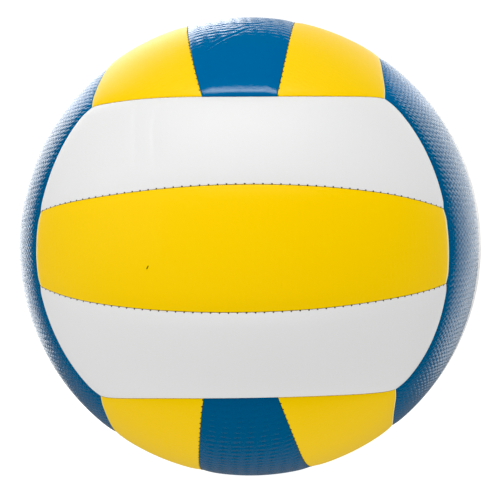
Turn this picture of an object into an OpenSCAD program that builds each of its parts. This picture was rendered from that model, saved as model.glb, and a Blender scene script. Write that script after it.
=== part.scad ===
// Volleyball of eighteen sewn panels round an inflated rubber bladder.
// The origin is the ball's centre, +Z is up, the front face looks along -Y and the valve along +Y.
// Six faces of three strips: the strips run across the front and back, front to back on the top
// and bottom, and upright on the left and right. Every seam wall points at the ball's centre.

/* [Ball] */
// Circumference of the blown-up ball round its middle
ball_circumference = 660; // [620:5:680]
// Width of a face's middle strip, measured round the ball at its centre
middle_strip_w = 50; // [44:0.5:56]

/* [Panels] */
// Thickness of the smooth outer skin
skin_t = 1; // [0.8:0.1:1.4]
// Thickness of the foam under the skin
foam_t = 2; // [1:0.1:4]
// Thickness of the cloth lining under the foam
lining_t = 0.6; // [0.3:0.1:1.2]
// Play between a panel's turned-in edge and the foam and lining that it wraps
ply_gap = 0.1; // [0.05:0.05:0.3]

/* [Seams] */
// Depth and width of the bevel where a skin's edge turns in to a seam
edge_bevel = 1.2; // [0.8:0.1:1.4]
// Diameter of the sewing thread
thread_d = 0.6; // [0.4:0.1:0.8]
// Play between the thread and the two bevels that it lies on
thread_gap = 0.05; // [0.02:0.01:0.1]
// Distance from a seam's end to the end of its thread
thread_end = 1.5; // [1:0.1:3]

/* [Hand of the sewing] */
// How far the top's middle strip is sewn off centre, to the right
top_strip_shift = -2.3; // [-4:0.1:4]
// Turn of the top's middle strip about the face's centre, in degrees
top_strip_turn = 1.7; // [-3:0.1:3]
// How far the bottom's middle strip is sewn off centre, to the right
bottom_strip_shift = 3.4; // [-4:0.1:4]
// Turn of the bottom's middle strip about the face's centre, in degrees
bottom_strip_turn = 1.7; // [-3:0.1:3]

/* [Bladder] */
// Thickness of the rubber bladder
bladder_t = 0.8; // [0.5:0.1:1.5]
// Play between the lining and the blown-up bladder
bladder_gap = 0.1; // [0.05:0.05:0.3]

/* [Valve] */
// Diameter of the valve's rubber stem
stem_d = 9; // [8:0.5:12]
// Play between the stem and the hole in the panel
stem_hole_gap = 0.15; // [0.1:0.05:0.4]
// How far the stem's outer end lies under the ball's surface
stem_sink = 0.4; // [0.2:0.1:0.8]
// How far the stem reaches into the bladder's air space
stem_reach = 10; // [8:0.5:16]
// Diameter of the flange that bonds the stem to the bladder
flange_d = 26; // [18:1:34]
// Thickness of that flange
flange_t = 1.2; // [0.8:0.1:2]
// Thickness of the bond between the stem or its flange and the bladder
bond_t = 0.1; // [0.05:0.05:0.2]
// Diameter of the rubber core that plugs the stem
core_d = 5.2; // [4.6:0.1:6]
// Play between the core and the stem's bore
core_gap = 0.05; // [0.02:0.01:0.1]
// Diameter of the collar that locks the core in the stem
collar_d = 7; // [6.6:0.1:7.4]
// Length of that collar along the core
collar_l = 2; // [1.5:0.1:3]
// Depth of the collar under the core's outer end
collar_depth = 5; // [4:0.5:6]
// How far the core's closed lips stand out of the stem's inner end
lip_l = 3; // [2:0.5:5]
// Width of the flat end of those lips
lip_end_d = 2.6; // [2.4:0.1:3.2]
// Diameter of the pump needle that the core takes
needle_d = 2; // [1.8:0.1:2.2]
// Play round the needle
needle_gap = 0.03; // [0.02:0.01:0.1]
// Length of the needle's round bore in the core
needle_bore_l = 10; // [6:0.5:12]
// Diameter of the funnel that leads the needle in
funnel_d = 3.2; // [3:0.1:3.8]
// Depth of that funnel
funnel_l = 0.8; // [0.5:0.1:1.2]

/* [Hidden] */
$fn = 96;
PANEL_NAMES = [
    for (face = ["front", "back"], strip = ["lower", "middle", "upper"]) str(face, "_", strip),
    for (face = ["top", "bottom"], strip = ["left", "middle", "right"]) str(face, "_", strip),
    for (face = ["left", "right"], strip = ["front", "middle", "rear"]) str(face, "_", strip)
];

// The faces, in the order of PANEL_NAMES
FRONT = 0;
BACK = 1;
TOP = 2;
BOTTOM = 3;
LEFT = 4;
RIGHT = 5;
// A face's strips by their place across it
LOWER = -1;
MIDDLE = 0;
UPPER = 1;
STRIPS = [LOWER, MIDDLE, UPPER];

WHITE = [0.93, 0.92, 0.89];
YELLOW = [0.98, 0.79, 0.06];
BLUE = [0, 0.37, 0.64];
FOAM = [0.83, 0.84, 0.8];
CLOTH = [0.86, 0.81, 0.7];
RUBBER = [0.1, 0.1, 0.1];
CORE_RUBBER = [0.22, 0.22, 0.23];
THREAD = [0.27, 0.24, 0.2];

// A right angle, and the third of a turn about the cube's diagonal that swaps the three axes round
QUARTER = 90;
THIRD = 4 * QUARTER / 3;
DIAGONAL = [1, 1, 1];

ball_r = ball_circumference / (2 * PI);
foam_r = ball_r - skin_t;
lining_r = foam_r - foam_t;
wall_r = lining_r - lining_t;
bladder_r = wall_r - bladder_gap;
bladder_in_r = bladder_r - bladder_t;
// Cutting shapes run this far past the ball
reach = ball_r + 2 * edge_bevel;

// The corners of the triangle that bevels a skin's edge, outwards along the seam wall and then
// across it, as shares of the bevel
bevel_shares = [[1, 2], [-2, -1], [1, -1]];

// The rim seams lie on six cones round the axes. At this latitude three of them cross at each
// corner where three faces meet.
rim_latitude = asin(1 / sqrt(3));
rim_half_angle = QUARTER - rim_latitude;

function degrees_on_ball(length) = length / ball_circumference * 360;
strip_half_angle = degrees_on_ball(middle_strip_w) / 2;

function strip_shift(face) =
    face == TOP ? degrees_on_ball(top_strip_shift)
    : face == BOTTOM ? degrees_on_ball(bottom_strip_shift) : 0;
function strip_turn(face) = face == TOP ? top_strip_turn : face == BOTTOM ? bottom_strip_turn : 0;

// How deep under the ball's surface the thread's centre lies in the trough between two bevels
thread_r = thread_d / 2;
thread_depth = edge_bevel - (thread_r + thread_gap) / cos(QUARTER / 2);

stem_r = stem_d / 2;
stem_hole_r = stem_r + stem_hole_gap;
stem_top = ball_r - stem_sink;
stem_bottom = bladder_in_r - stem_reach;
flange_top = bladder_in_r - bond_t;
core_r = core_d / 2;
core_bottom = stem_bottom - lip_l;
collar_top = stem_top - collar_depth;
needle_r = needle_d / 2 + needle_gap;
needle_bore_top = stem_top - funnel_l;
needle_bore_bottom = needle_bore_top - needle_bore_l;

// Turns the front face, its strips along X and stacked along Z, to any other face's place
module on_face(face) {
    turned = face < TOP ? 0 : face < LEFT ? THIRD : 2 * THIRD;
    far_side = face == BACK || face == TOP || face == RIGHT;
    rotate(a = turned, v = DIAGONAL)
        rotate([0, 0, far_side ? 2 * QUARTER : 0])
            children();
}

// A cone round the given axis from the ball's centre, its wall moved in by inset
module rim_cone(inset) {
    tip = inset / sin(rim_half_angle);
    translate([0, 0, tip])
        cylinder(h = reach, r1 = 0, r2 = reach * tan(rim_half_angle));
}

// Turns the upper strip of the front face, or its middle one, to any other panel's place. A face's
// lower strip is its upper one turned half round about the face's centre.
module on_panel(face, strip) {
    on_face(face)
        rotate([0, strip == LOWER ? 2 * QUARTER : 0, 0])
            children();
}

// The elevation of the seam over or under a strip, as drawn before on_panel turns it
function seam_elevation(face, strip, side) =
    strip == MIDDLE ? strip_shift(face) + side * strip_half_angle
    : strip_half_angle + strip * strip_shift(face);

// The seam plane at an elevation on the front face, turned in the face
module on_seam_plane(face, elevation) {
    rotate([0, -strip_turn(face), 0])
        rotate([-elevation, 0, 0])
            children();
}

// Everything on one side of a seam plane, over it where side is 1, its face moved in by inset
module half_ball(face, elevation, side, inset) {
    on_seam_plane(face, elevation)
        translate([-reach, -reach, side * inset - (side < 0 ? reach : 0)])
            cube([2 * reach, 2 * reach, reach]);
}

// Everything between the ball's centre and a panel, its walls moved in by inset
module panel_wedge(face, strip, inset) {
    difference() {
        intersection() {
            rotate([QUARTER, 0, 0]) rim_cone(inset);
            half_ball(face, seam_elevation(face, strip, -1), 1, inset);
            if (strip == MIDDLE) half_ball(face, seam_elevation(face, strip, 1), -1, inset);
        }
        if (strip != MIDDLE) rim_cone(-inset);
    }
}

// What a skin's bevel takes off it, all round a seam's circle at a latitude of its axis. The skin
// lies on the side towards the axis where side is 1.
module seam_bevel(latitude, side) {
    rotate_extrude()
        rotate(latitude)
            translate([ball_r, 0])
                polygon([for (corner = edge_bevel * bevel_shares) [corner.x, side * corner.y]]);
}

// The bevels of a panel's seams. Each ring starts on the far side of the ball from the panel.
module panel_bevels(face, strip) {
    rotate([QUARTER, -QUARTER, 0]) seam_bevel(rim_latitude, 1);
    on_seam_plane(face, seam_elevation(face, strip, -1)) rotate(QUARTER) seam_bevel(0, 1);
    if (strip == MIDDLE)
        on_seam_plane(face, seam_elevation(face, strip, 1)) rotate(QUARTER) seam_bevel(0, -1);
    else
        rotate(QUARTER) seam_bevel(rim_latitude, -1);
}

// The hole that the valve's stem passes through, in the middle of the back
module valve_hole(face, strip) {
    if (face == BACK && strip == MIDDLE)
        rotate([QUARTER, 0, 0]) cylinder(h = reach, r = stem_hole_r);
}

function panel_colour(face, strip) =
    face < TOP ? (strip == MIDDLE ? YELLOW : WHITE)
    : face < LEFT ? (strip == MIDDLE ? BLUE : YELLOW)
    : strip == MIDDLE ? WHITE : BLUE;

// An outer skin: a tray whose edges turn in along the seams and hold the foam and the lining
module skin(face, strip) {
    color(panel_colour(face, strip))
        on_panel(face, strip)
            difference() {
                intersection() {
                    sphere(ball_r);
                    panel_wedge(face, strip, 0);
                }
                sphere(wall_r);
                intersection() {
                    sphere(foam_r);
                    panel_wedge(face, strip, skin_t);
                }
                panel_bevels(face, strip);
                valve_hole(face, strip);
            }
}

// A flat ply inside a skin's tray, between two radii
module ply(face, strip, outer_r, inner_r) {
    on_panel(face, strip)
        difference() {
            intersection() {
                sphere(outer_r);
                panel_wedge(face, strip, skin_t + ply_gap);
            }
            sphere(inner_r);
            valve_hole(face, strip);
        }
}

module foam(face, strip) {
    color(FOAM) ply(face, strip, foam_r, lining_r);
}

module lining(face, strip) {
    color(CLOTH) ply(face, strip, lining_r, wall_r);
}

// The rubber bladder, with the hole that the stem is bonded into
module bladder() {
    color(RUBBER)
        difference() {
            sphere(bladder_r);
            sphere(bladder_in_r);
            on_face(BACK) rotate([QUARTER, 0, 0]) cylinder(h = reach, r = stem_r + bond_t);
        }
}

// A disc of the stem or core, drawn from its radius and the distances of its ends from the centre
module valve_disc(r, bottom, top) {
    translate([0, 0, bottom]) cylinder(h = top - bottom, r = r);
}

// The valve's stem, with a flange that lies on the bladder's inside and a groove for the collar
module valve_stem() {
    color(RUBBER)
        on_face(BACK)
            rotate([QUARTER, 0, 0])
                difference() {
                    union() {
                        valve_disc(stem_r, stem_bottom, stem_top);
                        difference() {
                            intersection() {
                                sphere(flange_top);
                                valve_disc(flange_d / 2, 0, reach);
                            }
                            sphere(flange_top - flange_t);
                        }
                    }
                    valve_disc(core_r + core_gap, stem_bottom - lip_l, reach);
                    valve_disc(
                        collar_d / 2 + core_gap,
                        collar_top - collar_l - core_gap,
                        collar_top + core_gap
                    );
                }
}

// The core that seals the stem: a plug with a locking collar, closed lips and the needle's bore
module valve_core() {
    color(CORE_RUBBER)
        on_face(BACK)
            rotate([QUARTER, 0, 0])
                difference() {
                    union() {
                        valve_disc(core_r, stem_bottom, stem_top);
                        valve_disc(collar_d / 2, collar_top - collar_l, collar_top);
                        translate([0, 0, core_bottom])
                            cylinder(h = lip_l, r1 = lip_end_d / 2, r2 = core_r);
                    }
                    valve_disc(needle_r, needle_bore_bottom, reach);
                    translate([0, 0, needle_bore_top])
                        cylinder(h = funnel_l, r1 = needle_r, r2 = funnel_d / 2);
                }
}

// A stretch of thread along a seam's circle, between two angles
module thread_arc(latitude, from, to) {
    lie_r = ball_r - thread_depth;
    rotate([0, 0, from])
        rotate_extrude(angle = to - from)
            translate([lie_r * cos(latitude), lie_r * sin(latitude)])
                circle(r = thread_r);
}

// The threads of the twelve rim seams: each face's own pair, at the ends of its strips
module rim_seam_thread() {
    half = QUARTER / 2 - degrees_on_ball(thread_end) / cos(rim_latitude);
    color(THREAD)
        for (face = [FRONT:RIGHT], side = [0, 2 * QUARTER])
            on_face(face)
                rotate([QUARTER, 0, 0])
                    thread_arc(rim_latitude, side - half, side + half);
}

// The threads of the twelve seams between a face's strips
module strip_seam_thread() {
    color(THREAD)
        for (face = [FRONT:RIGHT], side = [-1, 1]) {
            elevation = strip_shift(face) + side * strip_half_angle;
            half = acos(sin(rim_latitude) / cos(elevation)) - degrees_on_ball(thread_end);
            on_face(face)
                on_seam_plane(face, elevation)
                    thread_arc(0, -QUARTER - half, -QUARTER + half);
        }
}

for (face = [FRONT:RIGHT], strip = STRIPS) {
    panel = PANEL_NAMES[face * len(STRIPS) + strip + 1];
    skin(face, strip);
    foam(face, strip);
    lining(face, strip);
}
bladder();
valve_stem();
valve_core();
rim_seam_thread();
strip_seam_thread();
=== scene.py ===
"""Looks of a volleyball of eighteen sewn panels.

Each panel is drawn on the front face, which looks along -Y with its strips along X and stacked
along Z, and is then turned to its own face. A lower strip is an upper one turned half round.
Lengths are in millimetres until a mesh is made, and in metres in the materials and the studio.
"""
import math

import bpy
import numpy as np
from mathutils import Matrix, Vector


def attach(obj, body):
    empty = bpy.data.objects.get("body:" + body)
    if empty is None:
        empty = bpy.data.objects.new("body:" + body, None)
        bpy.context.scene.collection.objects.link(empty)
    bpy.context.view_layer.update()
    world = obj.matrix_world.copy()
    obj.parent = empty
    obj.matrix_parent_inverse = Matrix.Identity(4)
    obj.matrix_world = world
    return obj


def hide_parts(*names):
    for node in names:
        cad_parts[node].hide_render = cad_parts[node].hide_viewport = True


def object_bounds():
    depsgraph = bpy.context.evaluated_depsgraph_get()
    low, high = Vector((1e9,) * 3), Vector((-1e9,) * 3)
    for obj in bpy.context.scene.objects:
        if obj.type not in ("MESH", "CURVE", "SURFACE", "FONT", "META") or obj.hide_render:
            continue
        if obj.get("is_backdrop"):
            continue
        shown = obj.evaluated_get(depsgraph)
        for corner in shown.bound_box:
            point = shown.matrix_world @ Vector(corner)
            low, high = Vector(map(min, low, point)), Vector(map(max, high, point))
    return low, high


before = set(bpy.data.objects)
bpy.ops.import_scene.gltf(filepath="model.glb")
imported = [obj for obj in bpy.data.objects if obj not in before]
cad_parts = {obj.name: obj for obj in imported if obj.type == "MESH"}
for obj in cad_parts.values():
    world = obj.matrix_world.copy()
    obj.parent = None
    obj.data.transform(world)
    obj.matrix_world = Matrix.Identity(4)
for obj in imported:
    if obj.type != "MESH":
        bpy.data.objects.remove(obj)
cad_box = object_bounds()

MM = 0.001
CIRCUMFERENCE = 660
BALL_R = CIRCUMFERENCE / math.tau
# The radii where the skins' turned-in edges end, close over the bladder, and of the linings'
# outside
WALL_R = 101.45
LINING_R = 102.04
SKIN_T = 1.0
PLY_GAP = 0.05
SEAM_GAP = 0.1
MIDDLE_STRIP_W = 50

# The latitude of a rim seam, and the angle of a middle strip's seam off the middle of its face
RIM = math.asin(1 / math.sqrt(3))
HALF_STRIP = math.pi * MIDDLE_STRIP_W / CIRCUMFERENCE
# How far a face's strips are sewn off its middle, and how far they are turned
SHIFT = {"top": -2.3 / BALL_R, "bottom": 3.4 / BALL_R}
TURN = {"top": math.radians(1.7), "bottom": math.radians(1.7)}

# How a panel's edge sinks into a seam, as a slope beside it and a broad pillow over the panel:
# each one's depth at the seam, how far it reaches and the power that it falls off with
RIM_SINK = ((1.4, 2.5, 1),)
STRIP_SINK = ((0.2, 0.9, 1), (0.45, 3.5, 2))
# How much of the sink is lost along the left and right faces' seams
SIDE_SINK_LOSS = 0.5
# The radius of the roll where a panel's edge turns in along a seam
EDGE_ROLL = 0.4
# A skin's grid: its lines near an edge, its pitch over the panel, and that where it is creased
EDGE_STEPS = (0, 0.05, 0.12, 0.21, 0.32, 0.45, 0.65, 0.95, 1.35, 1.85, 2.45, 3.15, 3.95, 4.9, 6)
SKIN_PITCH = 1.2
CREASED_PITCH = {("top", 0): 0.55, ("front", 1): 0.8, ("front", 0): 0.8}
# The grid of a foam pad or lining, and how far it stays off the skin's turned-in edge
PLY_STEPS = (0, 1.5, 3, 4.5, 6)
PLY_PITCH = 2
PLY_INSET = {"foam": 0.05, "lining": 0.1}
# How much lower the ball stands than it is wide, at its top and bottom
SQUASH = 0.84
# Places where the hand-sewn seams lie off their even layout: direction, shift and reach
SEWING_SHIFTS = (
    ((-0.63, -0.58, -0.52), (-1.2, 3.2, -2.2), 30),
    ((-0.77, -0.58, -0.28), (-1.3, 1.7, 0), 30),
    ((-0.82, -0.58, 0), (-1.7, 2.4, 0.5), 30),
    ((-0.77, -0.58, 0.28), (0.3, 0.2, 1.3), 30),
    ((-0.63, -0.58, 0.52), (-3.2, 3.0, -0.4), 30),
    ((0.63, -0.58, -0.52), (2.7, 3.6, -0.6), 30),
    ((0.77, -0.58, -0.28), (0.8, 1.6, -1.1), 30),
    ((0.82, -0.58, 0), (-0.4, -0.6, -0.5), 30),
    ((0.63, -0.58, 0.52), (0.3, 1.2, 1.0), 30),
    ((-0.33, -0.75, 0.58), (-0.8, 1.3, 1.2), 30),
    ((0.33, -0.75, 0.58), (0.6, 0.4, 0.1), 30),
    ((-0.33, -0.75, -0.58), (-0.7, 0.4, 0), 30),
    ((0.33, -0.75, -0.58), (0.4, 0.1, 0.1), 30),
    ((-0.35, -0.93, 0.10), (-0.2, 0, -0.4), 30),
    ((0.35, -0.93, -0.10), (-0.3, 0, -0.5), 30),
    ((-0.30, -0.10, 0.95), (0.9, 0, 0.3), 30),
    ((-0.30, -0.30, -0.90), (-0.9, 0.2, 0.2), 30),
    ((0.30, -0.30, -0.90), (-1.3, 0, -0.8), 30),
    ((0.60, -0.17, -0.78), (3.6, 0, 2.3), 33),
)
# The front and back faces' corners are rounded, which draws the other panels' corners out
CORNER_PULL = 0.4
CORNER_REACH = 4
# Where these faces' strip seams end, they draw the rim seam a little way into the face
JUNCTION_FACES = ("front", "back")
JUNCTION_PULL = 0.8
JUNCTION_REACH = 2.2

# Creases in a panel: its face and strip, then lines in mm along the panel and over its lower
# seam, each with its depth, width and share of raised lip
CREASES = {
    ("top", 0): (
        (((73, 1), (70, 5), (65, 10), (60, 15), (56, 20), (52, 24), (47, 30)), 0.3, 0.55, 0.5),
        (((74, 1), (72, 5), (70, 8), (67, 11), (64, 14), (60, 19)), 0.16, 0.5, 0.4),
        (((49, 8), (52, 12), (53, 16), (52, 19), (49, 22), (46, 25), (45, 31)), 0.2, 0.5, 0.4),
        (
            (
                (38, 4), (41, 9), (42, 13), (41, 18), (42, 23),
                (43, 27), (41, 31), (36, 37), (28, 44),
            ),
            0.22,
            0.6,
            0.4,
        ),
        (((37, 27), (34, 32), (32, 35), (28, 38)), 0.12, 0.6, 0.3),
        (((47, 29), (46, 34), (44, 38), (42, 42)), 0.12, 0.6, 0.3),
    ),
    ("front", 1): (
        (((-40, 41), (-41, 34), (-41, 24), (-41, 10)), 0.42, 1.1, -0.6),
        (((-31, 37), (-33, 26), (-32.5, 15), (-32, 7)), 0.36, 1.0, -0.6),
    ),
    ("front", 0): (
        (((-24, 46), (-20, 44), (-18, 41)), 0.13, 0.8, -0.5),
        (((-18, 46), (-15, 44), (-12, 41)), 0.13, 0.8, -0.5),
    ),
}
# A crease's reach, and its lip's place and width, in widths of the crease
CREASE_REACH = 6
LIP_PLACE = 2
LIP_WIDTH = 1.5

# A stitch: its points along the seam and off it towards the outer strip, and their heights
STITCH_PITCH = 3.5
STITCH_R = 0.14
STITCH_PATH = ((-0.12, -0.08), (-0.08, 0.02), (0.0, 0.13), (0.08, 0.24), (0.14, 0.34))
STITCH_LIFT = (0.05, 0.12, 0.08, 0.02, -0.2)
# A rim's stitches are this share of that size
RIM_STITCH_SHARE = 0.35
SEAM_CORD_R = 0.12
# How far from a seam's end its last stitch and its cord stay
STITCH_END = 2.5
CORD_END = 0.8

# A needle hole: its place from the middle of its stitch, its radius, how much shorter it is off
# the seam than along it, its depth in metres, and the colour of its painted shade, which also
# darkens the scratch, with the share of that painted shade that shows
NEEDLE_HOLE = (0.08, 0.26)
NEEDLE_HOLE_R = 0.4
NEEDLE_HOLE_SQUEEZE = 1.3
NEEDLE_HOLE_DEPTH = 0.0003
HOLE_SHADE_AND_NICK_COLOUR = (0.03, 0.015, 0.012)
HOLE_SHADE_SHARE = 0.9
# A middle strip has no holes, so its map starts this far off its seam
NO_HOLES = 1000
# The shares of a hole's or scratch's radius and of a scratch's length that are at full strength
SOFT_EDGE = 0.5
SCRATCH_TAPER = 0.7

# How far from a rim seam the yellow leather is painted pale, a painted highlight on its edge where
# it rolls into the seam
RIM_HIGHLIGHT_REACH = (0.35, 0.75)
# A middle strip's painted highlight shows wider, by this share of its distances
MIDDLE_HIGHLIGHT_SHARE = 0.35

# The leather's embossed scales: their pitch along a strip and across it, how far noise moves them
# and that noise's scale, and the power that flattens them
EMBOSS_PITCH = 2.3
EMBOSS_WIDTH = 3.4
EMBOSS_WARP = (0.9, 0.9, 0)
EMBOSS_WARP_SCALE = 150.0
EMBOSS_POWER = 0.6
# The share of the relief that is plain ridges across the strip
RIDGE_SHARE = 0.6
# The panels whose scales are larger, because their map is drawn at this share of its size
EMBOSS_SCALE = {("top", 0): 0.64, ("bottom", 0): 0.64}
# How much lower and higher the scales are from place to place
EMBOSS_SPREAD = (0.7, 1.3)

# Noise in the leather, by its scale, detail and roughness, and in the other materials without
# their scales
FINE_GRAIN = (1000.0, 3.0, 0.6)
BROAD_CHANGE = (45.0, 2.0, 0.5)
MOTTLE = (26.0, 4.0, 0.6)
PLAIN_DETAIL = (3.0, 0.6)
# The values of a noise that its effect runs between, and the most that the mottle shows
NOISE_RANGE = (0.3, 0.7)
MOTTLE_RANGE = (0.35, 0.7)
MOTTLE_SHARE = 0.4
# How much glossier and duller the leather and the other materials are from place to place
LEATHER_SPREAD = (-0.05, 0.06)
PLAIN_SPREAD = (-0.08, 0.08)

# The blue leather is smooth over the front of the top panel: the middle of that cap, the cosines
# of the angles round it where it fades in and is full, and the shares of the relief and of the
# roughness that are left there
CALM_DIRECTION = (0.02, -0.69, 0.724)
CALM_FROM = 0.95
CALM_TO = 0.983
CALM_RELIEF = 0.13
CALM_ROUGHNESS = 0.75
# The heights in metres between which the blue turns from the lower panels' darker tone to the top's
BLUE_TONE_HEIGHTS = (0.05, 0.066)

# The valve's hole: its radius, half the block of the grid that is left out for it, the hair that
# the block goes past its last grid lines and the share of its size that is on these lines, how far
# round the hole the grid is drawn to it, and how deep and how wide its lip sinks
VALVE_HOLE_R = 4.65
VALVE_BLOCK = 3.2
HAIR = 1e-6
ON_EDGE = 0.999
VALVE_BLEND = 11
VALVE_LIP_SINK = 0.45
VALVE_LIP_REACH = 0.8

FACES = {
    "front": ("lower", "middle", "upper"),
    "back": ("lower", "middle", "upper"),
    "top": ("left", "middle", "right"),
    "bottom": ("left", "middle", "right"),
    "left": ("front", "middle", "rear"),
    "right": ("front", "middle", "rear"),
}
SKIN_SLOTS = {
    "front": ("skin_white", "skin_yellow"),
    "back": ("skin_white", "skin_yellow"),
    "top": ("skin_yellow", "skin_blue"),
    "bottom": ("skin_yellow", "skin_blue"),
    "left": ("skin_blue", "skin_white"),
    "right": ("skin_blue", "skin_white"),
}


# Geometry on the unit ball


def placed(face, strip, p):
    """Turns points drawn on the front face to a panel's own place."""
    x, y, z = p[..., 0], p[..., 1], p[..., 2]
    if strip < 0:
        x, z = -x, -z
    if face in ("back", "top", "right"):
        x, y = -x, -y
    if face in ("top", "bottom"):
        x, y, z = z, x, y
    if face in ("left", "right"):
        x, y, z = y, z, x
    return np.stack([x, y, z], -1)


def seam_direction(elevation, turn, longitude):
    """The direction at a longitude on a strip seam's great circle."""
    e, t, p = np.broadcast_arrays(elevation, turn, longitude)
    x, y, z = np.sin(p), -np.cos(p) * np.cos(e), np.cos(p) * np.sin(e)
    return np.stack([x * np.cos(t) - z * np.sin(t), y, x * np.sin(t) + z * np.cos(t)], -1)


def seam_frame(elevation, turn):
    """A strip seam's plane: along the strip, out of the face, and its normal away from the seam."""
    along = seam_direction(elevation, turn, math.pi / 2)
    out = seam_direction(elevation, turn, 0)
    return along, out, np.cross(along, -out)


def strip_seams(face, strip):
    """The elevations of the seams under and over a strip; an outer strip's upper edge is a rim."""
    shift = SHIFT.get(face, 0)
    if strip == 0:
        return shift - HALF_STRIP, shift + HALF_STRIP
    return HALF_STRIP + strip * shift, None


def corner_shifts():
    """The shifts that round the corners of the front and back faces."""
    for x in (-1, 1):
        for y in (-1, 1):
            for z in (-1, 1):
                pull = (-x * CORNER_PULL, 2 * y * CORNER_PULL, -z * CORNER_PULL)
                yield (x, y, z), pull, CORNER_REACH


def junction_shifts():
    """The shifts that draw each strip seam's two ends towards the middle of its face."""
    for face in JUNCTION_FACES:
        for strip in (-1, 1):
            elevation, _ = strip_seams(face, strip)
            turn = TURN.get(face, 0)
            reach = math.acos(math.sin(RIM) / math.cos(elevation))
            for end in (-reach, reach):
                place = seam_direction(elevation, turn, end)
                inwards = seam_direction(elevation, turn, end - math.copysign(math.pi / 2, end))
                pull = placed(face, strip, inwards) * JUNCTION_PULL
                yield placed(face, strip, place), pull, JUNCTION_REACH


ALL_SHIFTS = (*SEWING_SHIFTS, *corner_shifts(), *junction_shifts())


def unit(v):
    """Vectors drawn to length one."""
    return v / np.linalg.norm(v, axis=-1, keepdims=True)


def arc_points(first, middle, last, share):
    """Points at a share of the way along the circle through three directions."""
    normal = unit(np.cross(middle - first, last - middle))
    centre = normal * (normal * first).sum(-1, keepdims=True)
    a = first - centre
    b = np.cross(normal, a)
    c = last - centre
    angle = np.arctan2((c * b).sum(-1), (c * a).sum(-1))
    angle = (angle * share)[..., None]
    return centre + np.cos(angle) * a + np.sin(angle) * b


def panel_directions(face, strip, u, v, inset):
    """Directions at shares u along and v across a panel, drawn inset from its seams."""
    lower, upper = strip_seams(face, strip)
    turn = TURN.get(face, 0)
    gap = inset / BALL_R
    end_sine, end_cosine = math.sin(RIM + gap), math.cos(RIM + gap)

    def seam_ends(elevation):
        reach = math.acos(end_sine / math.cos(elevation))
        left, right = seam_direction(elevation, turn, np.array([-reach, reach]))
        return math.atan2(left[2], -left[0]), math.atan2(right[2], right[0])

    low = seam_ends(lower + gap)
    low_middle = seam_direction(lower + gap, turn, 0)
    if upper is None:
        high = [math.asin(math.sin(RIM - gap) / end_cosine)] * 2
        high_middle = np.array([0, -math.cos(RIM - gap), math.sin(RIM - gap)])
    else:
        high = seam_ends(upper - gap)
        high_middle = seam_direction(upper - gap, turn, 0)
    left = low[0] + (high[0] - low[0]) * v
    right = low[1] + (high[1] - low[1]) * v
    y = np.full_like(v, -end_sine)
    first = np.stack([-end_cosine * np.cos(left), y, end_cosine * np.sin(left)], -1)
    last = np.stack([end_cosine * np.cos(right), y, end_cosine * np.sin(right)], -1)
    spread = math.acos(np.clip(low_middle @ high_middle, -1, 1))
    low_share = np.sin((1 - v) * spread)[..., None]
    high_share = np.sin(v * spread)[..., None]
    middle = (low_share * low_middle + high_share * high_middle) / math.sin(spread)
    return arc_points(first, middle, last, u)


def edge_distances(face, strip, n):
    """Distances over the ball from directions to a panel's seams: its ends, then its sides."""
    lower, upper = strip_seams(face, strip)
    turn = TURN.get(face, 0)
    ends = (math.pi / 2 - RIM - np.arccos(np.clip(-n[..., 1], -1, 1))) * BALL_R
    under = np.arcsin(np.clip(n @ seam_frame(lower, turn)[2], -1, 1)) * BALL_R
    if upper is None:
        over = (RIM - np.arcsin(np.clip(n[..., 2], -1, 1))) * BALL_R
    else:
        over = -np.arcsin(np.clip(n @ seam_frame(upper, turn)[2], -1, 1)) * BALL_R
    return [np.maximum(d, 0) for d in (ends, under, over)]


def edge_sink(d, parts):
    """How far a panel has sunk at a distance from one of its seams."""
    rolled = EDGE_ROLL - np.minimum(d, EDGE_ROLL)
    sink = EDGE_ROLL - np.sqrt(EDGE_ROLL**2 - rolled**2)
    return sink + sum(depth * np.exp(-((d / reach) ** power)) for depth, reach, power in parts)


def sink_share(face, strip, n):
    """The share of the seams' sink at a place, which is less towards the left and right faces."""
    side = abs(placed(face, strip, n)[..., 0]) / math.sin(RIM)
    return 1 - SIDE_SINK_LOSS * np.clip(side, 0, 1) ** 2


def crease_depth(spot, line, depth, width, lip):
    """How deep a crease along a line of points is at spots on a panel, less its raised lip."""
    line = np.array(line, float)
    best = np.full(spot.shape[:-1], np.inf)
    side, run = np.zeros_like(best), np.zeros_like(best)
    steps = np.linalg.norm(np.diff(line, axis=0), axis=1)
    start = np.concatenate([[0], np.cumsum(steps)])
    for i, step in enumerate(steps):
        along = (line[i + 1] - line[i]) / step
        away = spot - line[i]
        t = np.clip(away @ along, 0, step)
        distance = np.linalg.norm(away - t[..., None] * along, axis=-1)
        nearer = distance < best
        best = np.where(nearer, distance, best)
        side = np.where(nearer, away @ np.array([-along[1], along[0]]), side)
        run = np.where(nearer, start[i] + t, run)
    taper = np.sin(math.pi * np.clip(run / start[-1], 0, 1)) ** 0.5
    off_lip = (side - LIP_PLACE * width) / (LIP_WIDTH * width)
    groove = np.exp(-((best / width) ** 2)) - lip * np.exp(-(off_lip**2))
    return depth * taper * np.where(best < CREASE_REACH * width, groove, 0)


def ticks(length, near, coarse):
    """Shares from 0 to 1 along a length, in fine steps near both ends."""
    near = np.array(near)
    edge = near[-1]
    between = np.linspace(edge, length - edge, max(2, round((length - 2 * edge) / coarse) + 1))
    return np.concatenate([near, between[1:-1], length - near[::-1]]) / length


def laid(face, strip, n, radius):
    """Points over directions drawn on the front face, in the panel's own place on the sewn ball."""
    d = placed(face, strip, n)
    moved = d.copy()
    for place, shift, reach in ALL_SHIFTS:
        away = np.linalg.norm(d - unit(np.array(place, float)), axis=-1, keepdims=True) * BALL_R
        moved += np.exp(-((away / reach) ** 2)) * np.array(shift, float) / BALL_R
    d = unit(moved)
    depth_share = np.clip((radius - LINING_R) / (BALL_R - LINING_R), 0, 1)
    return d * (radius - SQUASH * d[..., 2] ** 2 * depth_share)[..., None]


# Meshes


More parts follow.
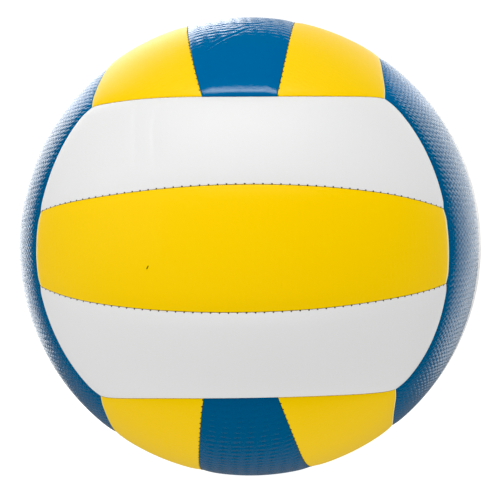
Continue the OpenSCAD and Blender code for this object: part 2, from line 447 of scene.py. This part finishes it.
def new_piece(name, points, faces, uvs=()):
    """A piece that rides on the ball. uvs are pairs of a map's name and its values by point."""
    used = np.zeros(len(points), bool)
    for part in faces:
        used[part.ravel()] = True
    index = np.cumsum(used) - 1
    points = np.asarray(points)[used]
    mesh = bpy.data.meshes.new(name)
    quads = [tuple(q) for part in faces for q in index[part].tolist()]
    mesh.from_pydata((points * MM).tolist(), [], quads)
    for map_name, values in uvs:
        layer = mesh.uv_layers.new(name=map_name)
        corners = np.empty(len(mesh.loops), np.int32)
        mesh.loops.foreach_get("vertex_index", corners)
        layer.data.foreach_set("uv", np.asarray(values, np.float32)[used][corners].ravel())
    mesh.polygons.foreach_set("use_smooth", [True] * len(mesh.polygons))
    piece = bpy.data.objects.new(name, mesh)
    bpy.context.scene.collection.objects.link(piece)
    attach(piece, "root")
    return piece


def grid_faces(keep, start=0, flip=False):
    """A grid's quads, but for those whose corners all lie in a hole."""
    rows, columns = keep.shape
    i, j = np.meshgrid(np.arange(rows - 1), np.arange(columns - 1), indexing="ij")
    a = (i * columns + j).ravel()
    quads = np.stack([a, a + 1, a + columns + 1, a + columns], 1)
    quads = quads[keep.ravel()[quads].any(1)] + start
    return quads[:, ::-1] if flip else quads


def border(rows, columns):
    """Indices round a grid's border, in the order of its faces' edges."""
    top = list(range(columns))
    right = [i * columns + columns - 1 for i in range(1, rows)]
    bottom = [(rows - 1) * columns + j for j in range(columns - 2, -1, -1)]
    left = [i * columns for i in range(rows - 2, 0, -1)]
    return np.array(top + right + bottom + left)


def joined(first, second):
    """Quads between two closed rings of as many points."""
    return np.stack([first, np.roll(first, -1), np.roll(second, -1), second], 1)[:, ::-1]


def panel_lengths(face, strip):
    """A panel's length along its lower seam, and its width, over the ball."""
    lower, upper = strip_seams(face, strip)
    across = (RIM if upper is None else upper) - lower
    return 2 * math.acos(math.sin(RIM) / math.cos(lower)) * BALL_R, across * BALL_R


class PanelGrid:
    """A panel's grid of directions on the front face, with the valve's hole in the one it's in."""

    def __init__(self, face, strip, near, coarse, inset):
        self.face, self.strip = face, strip
        self.axes = seam_frame(strip_seams(face, strip)[0], TURN.get(face, 0))
        length, width = panel_lengths(face, strip)
        along = (ticks(length, near, coarse) - 0.5) * length
        across = (ticks(width, near, coarse) - 0.5) * width
        x, y = np.meshgrid(along, across)
        self.keep = np.ones(x.shape, bool)
        self.hole = None
        if face == "back" and strip == 0:
            # The block goes to the first grid lines past its size, which become the hole's edge
            block = [
                min(abs(t) for t in line if abs(t) > VALVE_BLOCK) + HAIR for line in (along, across)
            ]
            size = np.maximum(abs(x) / block[0], abs(y) / block[1])
            self.keep = size > 1
            angle = np.arctan2(y / block[1], x / block[0])
            self.hole = np.flatnonzero((size > ON_EDGE) & (size <= 1))
            self.hole = self.hole[np.argsort(angle.ravel()[self.hole])]
            radius = VALVE_HOLE_R + (size - 1) * block[0]
            share = np.clip((radius - VALVE_HOLE_R) / VALVE_BLEND, 0, 1)
            share = share * share * (3 - 2 * share)
            x = x * share + radius * np.cos(angle) * (1 - share)
            y = y * share + radius * np.sin(angle) * (1 - share)
        self.u, self.v = x / length + 0.5, y / width + 0.5
        self.shape = x.shape
        self.rim = border(*x.shape)
        self.inset(inset)

    def inset(self, inset):
        """Draws the grid again, inset from the panel's seams."""
        self.n = panel_directions(self.face, self.strip, self.u, self.v, inset)
        self.distances = edge_distances(self.face, self.strip, self.n)

    def outer_radius(self):
        """The radius of the ball's outside, where the seams' sinks join smoothly at corners."""
        parts = RIM_SINK, STRIP_SINK, RIM_SINK if self.strip else STRIP_SINK
        sink = np.sqrt(sum(edge_sink(d, p) ** 2 for d, p in zip(self.distances, parts)))
        sink = sink * sink_share(self.face, self.strip, self.n)
        spot = np.stack([np.arcsin(self.n @ self.axes[0]) * BALL_R, self.distances[1]], -1)
        for crease in CREASES.get((self.face, self.strip), ()):
            sink = sink + crease_depth(spot, *crease)
        if self.hole is not None:
            valve = np.hypot(self.n[..., 0], self.n[..., 2]) * BALL_R - VALVE_HOLE_R
            sink = sink + VALVE_LIP_SINK * np.exp(-np.maximum(valve, 0) / VALVE_LIP_REACH)
        return BALL_R - sink

    def points(self, radius):
        """The grid's points on the ball."""
        return laid(self.face, self.strip, self.n, radius).reshape(-1, 3)


def make_skin(face, strip, name, slot, material):
    """A puffed panel: its outer face, the edges turned in along the seams, and its inside."""
    pitch = CREASED_PITCH.get((face, strip), SKIN_PITCH)
    grid = PanelGrid(face, strip, EDGE_STEPS, pitch, SEAM_GAP)
    count, rim = grid.n[..., 0].size, grid.rim
    outer = grid.points(grid.outer_radius())
    wall = np.full(grid.shape, WALL_R)
    wall_out = grid.points(wall)[rim]
    along, out, _ = grid.axes
    lengthwise = np.arcsin(grid.n @ along) * BALL_R
    flat = np.stack([lengthwise, grid.distances[1]], -1).reshape(-1, 2)
    flat = flat * EMBOSS_SCALE.get((face, strip), 1)
    on_seam = np.arctan2(grid.n @ along, grid.n @ out) * BALL_R
    off_seam = grid.distances[1] + (NO_HOLES if strip == 0 else 0)
    off_rim = grid.distances[2] if strip else grid.distances[0] * MIDDLE_HIGHLIGHT_SHARE
    edge = np.stack([off_rim, grid.distances[1]], -1).reshape(-1, 2)
    seam = np.stack([on_seam, off_seam], -1).reshape(-1, 2)
    grid.inset(SEAM_GAP + SKIN_T)
    inner = grid.points(grid.outer_radius() - SKIN_T)
    wall_in = grid.points(wall)[rim]
    ring = 2 * count + np.arange(len(rim))
    faces = [
        grid_faces(grid.keep),
        grid_faces(grid.keep, count, flip=True),
        joined(rim, ring),
        joined(ring, ring + len(rim)),
        joined(ring + len(rim), count + rim),
    ]
    if grid.hole is not None:
        faces.append(joined(count + grid.hole, grid.hole))
    # Millimetres along the panel and over it for the relief, along its inner seam and off it for
    # the needle holes, and off its rim for the painted highlight
    maps = [np.concatenate([m, m, m[rim], m[rim]]) for m in (flat, seam, edge)]
    piece = new_piece(
        f"cover_{name}",
        np.concatenate([outer, inner, wall_out, wall_in]),
        faces,
        [("panel_mm", maps[0]), ("seam_mm", maps[1]), ("edge_mm", maps[2])],
    )
    piece.data.materials.append(material)
    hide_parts(f"skin_{name}")
    return piece


def make_ply(face, strip, name, kind, material):
    """A foam pad or a lining under a skin."""
    inset = SEAM_GAP + SKIN_T + PLY_INSET[kind]
    # The valve's hole takes the skins' closer grid
    pitch = SKIN_PITCH if (face, strip) == ("back", 0) else PLY_PITCH
    grid = PanelGrid(face, strip, PLY_STEPS, pitch, inset)
    if kind == "foam":
        radii = grid.outer_radius() - SKIN_T - PLY_GAP, np.full(grid.shape, LINING_R + PLY_GAP)
    else:
        radii = np.full(grid.shape, LINING_R), np.full(grid.shape, WALL_R + PLY_GAP)
    count, rim = grid.n[..., 0].size, grid.rim
    faces = [
        grid_faces(grid.keep),
        grid_faces(grid.keep, count, flip=True),
        joined(rim, count + rim),
    ]
    if grid.hole is not None:
        faces.append(joined(count + grid.hole, grid.hole))
    piece = new_piece(f"{kind}_ply_{name}", np.concatenate([grid.points(r) for r in radii]), faces)
    piece.data.materials.append(material)
    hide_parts(f"{kind}_{name}")
    return piece


def tubes(centres, radius, sides=6):
    """The points and quads of closed tubes through rows of centres, one tube to a row."""
    rows, rings = centres.shape[:2]
    tangent = np.gradient(centres, axis=1)
    out = unit(centres)
    across = unit(np.cross(tangent, out))
    out = unit(np.cross(across, tangent))
    turn = np.arange(sides) / sides * math.tau
    circle = np.cos(turn)[:, None] * across[:, :, None] + np.sin(turn)[:, None] * out[:, :, None]
    points = centres[:, :, None] + radius * circle
    index = np.arange(rows * rings * sides).reshape(rows, rings, sides)
    after = np.roll(index, -1, axis=2)
    quads = np.stack([index[:, :-1], after[:, :-1], after[:, 1:], index[:, 1:]], -1).reshape(-1, 4)
    caps = np.concatenate([index[:, 0, ::-1], index[:, -1]])
    return points.reshape(-1, 3), [quads, caps]


def seam_lines():
    """Each seam's kind, face, strip, frame and half length."""
    lines = []
    for face in FACES:
        turn = TURN.get(face, 0)
        for strip in (-1, 1):
            elevation, _ = strip_seams(face, strip)
            half = math.acos(math.sin(RIM) / math.cos(elevation)) * BALL_R
            lines.append(("strip", face, strip, seam_frame(elevation, turn), half))
            # The rim over a face's outer strip lies on the circle round the stacking axis
            lines.append(("rim", face, strip, None, math.pi / 4 * BALL_R * math.cos(RIM)))
    return lines


def seam_point(kind, frame_axes, s, off):
    """A direction on the front face at a length along a seam and off it, outwards."""
    if kind == "strip":
        along, out, normal = frame_axes
        p, q = s / BALL_R, off / BALL_R
        flat = np.sin(p)[..., None] * along + np.cos(p)[..., None] * out
        return np.cos(q)[..., None] * flat + np.sin(q)[..., None] * normal
    p, q = s / (BALL_R * math.cos(RIM)), RIM + off / BALL_R
    return np.stack([np.sin(p) * np.cos(q), -np.cos(p) * np.cos(q), np.sin(q)], -1)


def seam_depth(kind, s, half, off):
    """How far the outside has sunk beside a seam, which is more near the seam's ends."""
    ends = np.maximum(half - abs(s), 0)
    own = RIM_SINK if kind == "rim" else STRIP_SINK
    return np.sqrt(edge_sink(abs(off), own) ** 2 + edge_sink(ends, RIM_SINK) ** 2)


def make_threads(kind, node, materials):
    """The cord in each seam's trough, and the stitches that cross it."""
    points, faces, places, start = [], [], [], 0

    def add(face, strip, axes, half, s, off, lift, radius, place):
        nonlocal start
        n = seam_point(kind, axes, s, off)
        r = BALL_R - seam_depth(kind, s, half, off) * sink_share(face, strip, n) + lift
        more, parts = tubes(laid(face, strip, n, r), radius)
        points.append(more)
        for part in parts:
            faces.append(part + start)
            places.extend([place] * len(part))
        start += len(more)

    share = 1 if kind == "strip" else RIM_STITCH_SHARE
    path = np.array(STITCH_PATH) * share
    for line_kind, face, strip, axes, half in seam_lines():
        if line_kind != kind:
            continue
        s = np.linspace(CORD_END - half, half - CORD_END, round(half))[None]
        add(face, strip, axes, half, s, np.zeros_like(s), SEAM_CORD_R / 2, SEAM_CORD_R, 1)
        last = math.floor((half - STITCH_END) / STITCH_PITCH)
        middles = np.arange(-last, last + 1) * STITCH_PITCH
        s = middles[:, None] + path[:, 0]
        off = np.broadcast_to(path[:, 1], s.shape)
        add(face, strip, axes, half, s, off, np.array(STITCH_LIFT), STITCH_R * share**0.5, 0)
    piece = new_piece(f"{kind}_seam_stitches", np.concatenate(points), faces)
    for material in materials:
        piece.data.materials.append(material)
    piece.data.polygons.foreach_set("material_index", places)
    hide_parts(node)
    return piece


# Materials


class Shader:
    """One material's nodes, added one at a time and linked by their inputs."""

    def __init__(self, name):
        self.material = bpy.data.materials.new(name)
        self.material.use_nodes = True
        self.tree = self.material.node_tree
        self.surface = self.tree.nodes["Principled BSDF"]

    def put(self, socket, value):
        """Links another node's output to a socket, or sets the socket's own value."""
        if isinstance(value, bpy.types.NodeSocket):
            self.tree.links.new(value, socket)
        elif hasattr(value, "__len__") and len(value) == 3 and socket.type == "RGBA":
            socket.default_value = (*value, 1)
        else:
            socket.default_value = value

    def add(self, kind, inputs=(), output=0, **settings):
        """Adds a node with its inputs and settings, and returns one of its outputs."""
        node = self.tree.nodes.new(kind)
        for key, value in settings.items():
            setattr(node, key, value)
        for key, value in dict(inputs).items():
            self.put(node.inputs[key], value)
        return node.outputs[output]

    def math(self, operation, a, b=0.0, c=0.0):
        """The result of an operation on up to three values."""
        return self.add("ShaderNodeMath", {0: a, 1: b, 2: c}, operation=operation)

    def noise(self, vector, scale, detail, roughness):
        """Noise from 0 to 1 over a vector."""
        settings = {"Vector": vector, "Scale": scale, "Detail": detail, "Roughness": roughness}
        return self.add("ShaderNodeTexNoise", settings)

    def ramp(self, value, low, high, to_low=0.0, to_high=1.0):
        """A smooth step from one value to another while the given one goes from low to high."""
        settings = {
            "Value": value,
            "From Min": low,
            "From Max": high,
            "To Min": to_low,
            "To Max": to_high,
        }
        return self.add("ShaderNodeMapRange", settings, interpolation_type="SMOOTHSTEP")

    def mix(self, share, a, b):
        """The colour at a share of the way from a to b, by the node's sockets for colours."""
        node = self.tree.nodes.new("ShaderNodeMix")
        node.data_type = "RGBA"
        self.put(node.inputs[0], share)
        self.put(node.inputs[6], a)
        self.put(node.inputs[7], b)
        return node.outputs[2]

    def set(self, **values):
        """Sets or links the surface's sockets, by their names with underscores."""
        for key, value in values.items():
            self.put(self.surface.inputs[key.replace("_", " ")], value)

    def bump(self, height):
        """Gives the surface relief of a height in metres."""
        settings = {"Strength": 1.0, "Distance": 1.0, "Height": height}
        self.set(Normal=self.add("ShaderNodeBump", settings))


def near_stitch_hole(s):
    """A mask that is 1 in the needle holes beside an outer strip's inner seam."""
    seam = s.add("ShaderNodeSeparateXYZ", {0: s.add("ShaderNodeUVMap", uv_map="seam_mm")})
    along, off = seam, seam.node.outputs[1]
    phase = s.math("DIVIDE", s.math("SUBTRACT", along, NEEDLE_HOLE[0]), STITCH_PITCH)
    step = s.math("SUBTRACT", phase, s.math("ROUND", phase))
    x = s.math("MULTIPLY", step, STITCH_PITCH)
    y = s.math("MULTIPLY", s.math("SUBTRACT", off, NEEDLE_HOLE[1]), NEEDLE_HOLE_SQUEEZE)
    away = s.math("SQRT", s.math("ADD", s.math("MULTIPLY", x, x), s.math("MULTIPLY", y, y)))
    return s.ramp(away, SOFT_EDGE * NEEDLE_HOLE_R, NEEDLE_HOLE_R, 1.0, 0.0)


def scales(s, spot):
    """The leather's embossed relief from 0 to 1: rows of flat scales across the strip."""
    noise = {"Vector": spot, "Scale": EMBOSS_WARP_SCALE, "Detail": 1.0}
    warp = s.add("ShaderNodeTexNoise", noise, output=1)
    offset = s.add("ShaderNodeVectorMath", {0: warp, 1: EMBOSS_WARP}, operation="MULTIPLY")
    flat = s.add("ShaderNodeUVMap", uv_map="panel_mm")
    moved = s.add("ShaderNodeVectorMath", {0: flat, 1: offset}, operation="ADD")
    along = s.add("ShaderNodeSeparateXYZ", {0: moved})
    across = along.node.outputs[1]
    along = s.math("MULTIPLY", along, math.pi / EMBOSS_PITCH)
    across = s.math("MULTIPLY", across, math.pi / EMBOSS_WIDTH)
    one = s.math("SINE", s.math("ADD", along, across))
    two = s.math("SINE", s.math("SUBTRACT", along, across))
    lattice = s.math("ABSOLUTE", s.math("MULTIPLY", one, two))
    ridges = s.math("ABSOLUTE", s.math("SINE", along))
    relief = s.add("ShaderNodeMix", {0: RIDGE_SHARE, 2: lattice, 3: ridges})
    return s.math("POWER", relief, EMBOSS_POWER)


def near_nick(s, spot, middle, along, half_length, half_width):
    """A mask that is 1 in a short scratch, by its middle and direction on the ball."""
    away = s.add("ShaderNodeVectorMath", {0: spot, 1: middle}, operation="SUBTRACT")
    lengthwise = s.add("ShaderNodeVectorMath", {0: away, 1: along}, 1, operation="DOT_PRODUCT")
    distance = s.add("ShaderNodeVectorMath", {0: away}, 1, operation="LENGTH")
    square = s.math("SUBTRACT", s.math("POWER", distance, 2), s.math("POWER", lengthwise, 2))
    sideways = s.math("SQRT", s.math("MAXIMUM", square, 0.0))
    ends = SCRATCH_TAPER * half_length, half_length
    sides = SOFT_EDGE * half_width, half_width
    share = s.ramp(s.math("ABSOLUTE", lengthwise), *ends, 1.0, 0.0)
    return s.math("MULTIPLY", share, s.ramp(sideways, *sides, 1.0, 0.0))


def leather(name, colour, worn, relief, gloss, calm=None, lower=None, rim_highlight=None, nick=None):
    """Embossed synthetic leather.

    colour and worn are its tones, relief the heights of its scales and its grain in metres, and
    gloss its roughness and specular level. calm is the middle of a smooth cap, lower the tone of
    the panels below it, rim_highlight the tone of a painted highlight over a rim seam, and nick a
    scratch.
    """
    s = Shader(name)
    emboss, grain = relief
    roughness, specular = gloss
    spot = s.add("ShaderNodeTexCoord", output=3)
    fine = s.noise(spot, *FINE_GRAIN)
    broad = s.noise(spot, *BROAD_CHANGE)
    height = s.ramp(broad, *NOISE_RANGE, *(share * emboss for share in EMBOSS_SPREAD))
    height = s.math("MULTIPLY", scales(s, spot), height)
    dullness = s.ramp(fine, *NOISE_RANGE, *(roughness + change for change in LEATHER_SPREAD))
    if calm:
        where = s.add("ShaderNodeVectorMath", {0: spot}, operation="NORMALIZE")
        towards = s.add("ShaderNodeVectorMath", {0: where, 1: calm}, 1, operation="DOT_PRODUCT")
        left = s.ramp(towards, CALM_FROM, CALM_TO, 1.0, CALM_RELIEF)
        height = s.math("MULTIPLY", height, left)
        left = s.ramp(towards, CALM_FROM, CALM_TO, 1.0, CALM_ROUGHNESS)
        dullness = s.math("MULTIPLY", dullness, left)
    holes = near_stitch_hole(s)
    height = s.math("ADD", height, s.math("MULTIPLY", fine, grain))
    s.bump(s.math("MULTIPLY_ADD", holes, -NEEDLE_HOLE_DEPTH, height))
    mottled = s.ramp(s.noise(spot, *MOTTLE), *MOTTLE_RANGE, 0.0, MOTTLE_SHARE)
    tone = s.mix(mottled, colour, worn)
    # The blue is darker on the panels below the top cap, by height
    if lower:
        level = s.add("ShaderNodeSeparateXYZ", {0: spot}, 2)
        tone = s.mix(s.ramp(level, *BLUE_TONE_HEIGHTS), lower, tone)
    # A pale painted highlight along the rim seams, where the rolled edge would catch the light
    if rim_highlight:
        off_rim = s.add("ShaderNodeSeparateXYZ", {0: s.add("ShaderNodeUVMap", uv_map="edge_mm")})
        tone = s.mix(s.ramp(off_rim, *RIM_HIGHLIGHT_REACH, 1.0, 0.0), tone, rim_highlight)
    if nick:
        tone = s.mix(near_nick(s, spot, *nick), tone, HOLE_SHADE_AND_NICK_COLOUR)
    # The needle holes are painted dark: painted shade in each hole's hollow
    share = s.math("MULTIPLY", holes, HOLE_SHADE_SHARE)
    s.set(Base_Color=s.mix(share, tone, HOLE_SHADE_AND_NICK_COLOUR))
    s.set(Roughness=dullness, Specular_IOR_Level=specular)
    return s.material


def plain(name, colour, other, roughness, scale, height):
    """A material that noise of a scale mottles and roughens: foam, cloth, rubber and thread."""
    s = Shader(name)
    spot = s.add("ShaderNodeTexCoord", output=3)
    grain = s.noise(spot, scale, *PLAIN_DETAIL)
    s.set(Base_Color=s.mix(grain, colour, other))
    dullness = s.ramp(grain, *NOISE_RANGE, *(roughness + change for change in PLAIN_SPREAD))
    s.set(Roughness=dullness)
    s.bump(s.math("MULTIPLY", grain, height))
    return s.material


# The scratch on the front's yellow panel: its middle, direction, half length and half width, in
# metres
NICK = ((-0.03497, -0.09881, -0.00686), (0.473, -0.227, 0.851), 0.0009, 0.00028)

LEATHERS = {
    "skin_white": leather(
        "white_leather",
        colour=(0.83, 0.833, 0.83),
        worn=(0.815, 0.818, 0.81),
        relief=(0.00003, 0.00005),
        gloss=(0.42, 0.25),
    ),
    "skin_yellow": leather(
        "yellow_leather",
        colour=(1.0, 0.655, 0.021),
        worn=(1.0, 0.645, 0.018),
        relief=(0.00004, 0.00007),
        gloss=(0.44, 0.2),
        # the tone of the pale painted highlight along the rim seams
        rim_highlight=(1.0, 0.97, 0.6),
        nick=NICK,
    ),
    "skin_blue": leather(
        "blue_leather",
        colour=(0.0, 0.148, 0.365),
        worn=(0.0, 0.142, 0.35),
        relief=(0.0003, 0.00002),
        gloss=(0.27, 0.5),
        calm=CALM_DIRECTION,
        lower=(0.0, 0.115, 0.27),
    ),
}
# Each one's name, two tones, roughness, noise scale and the height of its relief
FOAM = plain("white_foam", (0.7, 0.71, 0.67), (0.62, 0.63, 0.6), 0.85, 700.0, 0.0001)
CLOTH = plain("lining_cloth", (0.72, 0.66, 0.53), (0.62, 0.56, 0.44), 0.85, 900.0, 0.0001)
RUBBER = plain("bladder_rubber", (0.03, 0.03, 0.03), (0.045, 0.045, 0.045), 0.45, 500.0, 0.00004)
CORE = plain("core_rubber", (0.06, 0.06, 0.065), (0.08, 0.08, 0.085), 0.5, 900.0, 0.00003)
THREAD = plain("seam_thread", (0.05, 0.03, 0.025), (0.12, 0.08, 0.07), 0.7, 2500.0, 0.00005)
CORD = plain("seam_cord", (0.07, 0.05, 0.03), (0.1, 0.08, 0.05), 0.7, 2500.0, 0.00005)

# The panels

for face, strips in FACES.items():
    outer_slot, middle_slot = SKIN_SLOTS[face]
    for strip, strip_name in zip((-1, 0, 1), strips):
        name = f"{face}_{strip_name}"
        slot = outer_slot if strip else middle_slot
        make_skin(face, strip, name, slot, LEATHERS[slot])
        make_ply(face, strip, name, "foam", FOAM)
        cloth = make_ply(face, strip, name, "lining", CLOTH)
        length, width = panel_lengths(face, strip)

make_threads("strip", "strip_seam_thread", (THREAD, CORD))
make_threads("rim", "rim_seam_thread", (THREAD, CORD))

for node_name, material in (
    ("bladder", RUBBER),
    ("valve_stem", RUBBER),
    ("valve_core", CORE),
):
    node_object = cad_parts[node_name]
    for material_slot in node_object.material_slots:
        material_slot.material = material

# Camera, as fitted to the photograph: its distance, how the ball is turned to it, and its lens

CAMERA_DISTANCE = 5.75 * BALL_R
BALL_ANGLES = [math.radians(a) for a in (0.36, -0.99, -2.88)]
SENSOR = 36
FOCAL_PX = 1308
FRAME_PX = 500
CENTRE_RISE_PX = 3.6
CLIP_END = 20

turned = Matrix.Identity(3)
for angle, axis in zip(BALL_ANGLES, "XYZ"):
    turned = turned @ Matrix.Rotation(angle, 3, axis)
view_axes = turned.transposed()
camera_data = bpy.data.cameras.new("camera")
camera_data.sensor_width = SENSOR
camera_data.lens = FOCAL_PX / FRAME_PX * SENSOR
camera_data.shift_y = -CENTRE_RISE_PX / FRAME_PX
camera_data.clip_end = CLIP_END
camera = bpy.data.objects.new("camera", camera_data)
right, ahead, up = (view_axes.col[i] for i in range(3))
placing = Matrix((right, up, -ahead)).transposed().to_4x4()
placing.translation = -ahead * CAMERA_DISTANCE * MM
camera.matrix_world = placing
bpy.context.scene.collection.objects.link(camera)
bpy.context.scene.camera = camera

# Floor, lights and backdrop

FLOOR_HALF = 40

floor = bpy.data.meshes.new("floor")
low = -BALL_R * MM
floor.from_pydata(
    [(x * FLOOR_HALF, y * FLOOR_HALF, low) for x, y in ((-1, -1), (1, -1), (1, 1), (-1, 1))],
    [],
    [(0, 1, 2, 3)],
)
floor_object = bpy.data.objects.new("floor", floor)
bpy.context.scene.collection.objects.link(floor_object)
floor_object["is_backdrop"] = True
# The light that the floor returns to the ball comes from the lower half of the studio's glow
floor_object.visible_diffuse = False
floor_object.visible_glossy = False
floor_shader = Shader("pale_floor")
floor_shader.set(Base_Color=(0.2, 0.2, 0.2), Roughness=0.9)
floor_shader.set(Emission_Color=(1, 1, 1), Emission_Strength=1.0)
floor.materials.append(floor_shader.material)


def area_light(name, azimuth, elevation, distance, width, height, radiance, kinds="both"):
    """A softbox that looks at the ball. Azimuth 0 is in front of the ball and 90 on its right.

    kinds says whether it lights by diffuse or glossy reflection or both.
    """
    a, e = math.radians(azimuth), math.radians(elevation)
    away = Vector((math.sin(a) * math.cos(e), -math.cos(a) * math.cos(e), math.sin(e)))
    data = bpy.data.lights.new(name, "AREA")
    data.shape = "RECTANGLE"
    data.size, data.size_y = width, height
    data.energy = radiance * math.pi * width * height
    lamp = bpy.data.objects.new(name, data)
    lamp.location = away * distance
    lamp.rotation_mode = "QUATERNION"
    lamp.rotation_quaternion = (-away).to_track_quat("-Z", "Y")
    lamp.visible_camera = False
    lamp.visible_diffuse = kinds != "glossy"
    lamp.visible_glossy = kinds != "diffuse"
    bpy.context.scene.collection.objects.link(lamp)


# The studio's glow from above and below, how high and low it is one or the other, and how bright
# the backdrop shows
UPPER_GLOW = 0.53
LOWER_GLOW = 0.965
GLOW_BLEND = 0.25
BACKDROP_GLOW = 1.1
# The share of the glow that shows in reflections, as behind a polarising filter
GLOSS_SHARE = 0.3
# The view's black level
HAZE = 0.03
# The softboxes: azimuth and elevation in degrees, distance, width, height and radiance, and the
# reflections that one is kept to
LIGHTS = (
    ("key", 0, 60, 1.4, 1.3, 0.36, 6.4),
    ("fill", -60, 15, 1.5, 0.9, 1.2, 0.65),
    ("rear", 180, 40, 1.4, 1.3, 0.5, 2.6, "diffuse"),
    ("rim_left", -155, 16, 1.3, 0.9, 1.45, 2.8, "glossy"),
    ("rim_right", 138, 7, 1.3, 0.72, 1.5, 1.5, "glossy"),
    ("rim_right_high", 163, 11, 1.3, 0.6, 0.6, 1.4, "glossy"),
    ("side", -130, 5, 1.3, 0.9, 1.2, 0.45, "diffuse"),
    ("back", 177, 30, 1.3, 1.0, 0.6, 0.85, "glossy"),
)
for light in LIGHTS:
    area_light(*light)

# The world glows by height, shows less in reflections, and shows the camera a plain backdrop
world = bpy.data.worlds.new("studio")
world.use_nodes = True
bpy.context.scene.world = world
tree = world.node_tree
background = tree.nodes["Background"]
background.inputs["Color"].default_value = (1, 1, 1, 1)
direction = tree.nodes.new("ShaderNodeTexCoord")
parts = tree.nodes.new("ShaderNodeSeparateXYZ")
tree.links.new(direction.outputs["Generated"], parts.inputs[0])
glow = tree.nodes.new("ShaderNodeMapRange")
glow.inputs["From Min"].default_value = -GLOW_BLEND
glow.inputs["From Max"].default_value = GLOW_BLEND
glow.inputs["To Min"].default_value = LOWER_GLOW
glow.inputs["To Max"].default_value = UPPER_GLOW
tree.links.new(parts.outputs["Z"], glow.inputs["Value"])
ray = tree.nodes.new("ShaderNodeLightPath")
gloss = tree.nodes.new("ShaderNodeMapRange")
gloss.inputs["To Min"].default_value = 1
gloss.inputs["To Max"].default_value = GLOSS_SHARE
tree.links.new(ray.outputs["Is Glossy Ray"], gloss.inputs["Value"])
seen = tree.nodes.new("ShaderNodeMath")
seen.operation = "MULTIPLY"
tree.links.new(glow.outputs[0], seen.inputs[0])
tree.links.new(gloss.outputs[0], seen.inputs[1])
strength = tree.nodes.new("ShaderNodeMapRange")
strength.inputs["To Max"].default_value = BACKDROP_GLOW
tree.links.new(seen.outputs[0], strength.inputs["To Min"])
tree.links.new(ray.outputs["Is Camera Ray"], strength.inputs["Value"])
tree.links.new(strength.outputs[0], background.inputs["Strength"])

view = bpy.context.scene.view_settings
view.view_transform = "Standard"
view.use_curve_mapping = True
view.curve_mapping.black_level = (HAZE, HAZE, HAZE)
view.curve_mapping.update()

corners = {"cad": cad_box, "visual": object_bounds()}
{k: [list(corner) for corner in box] for k, box in corners.items()}
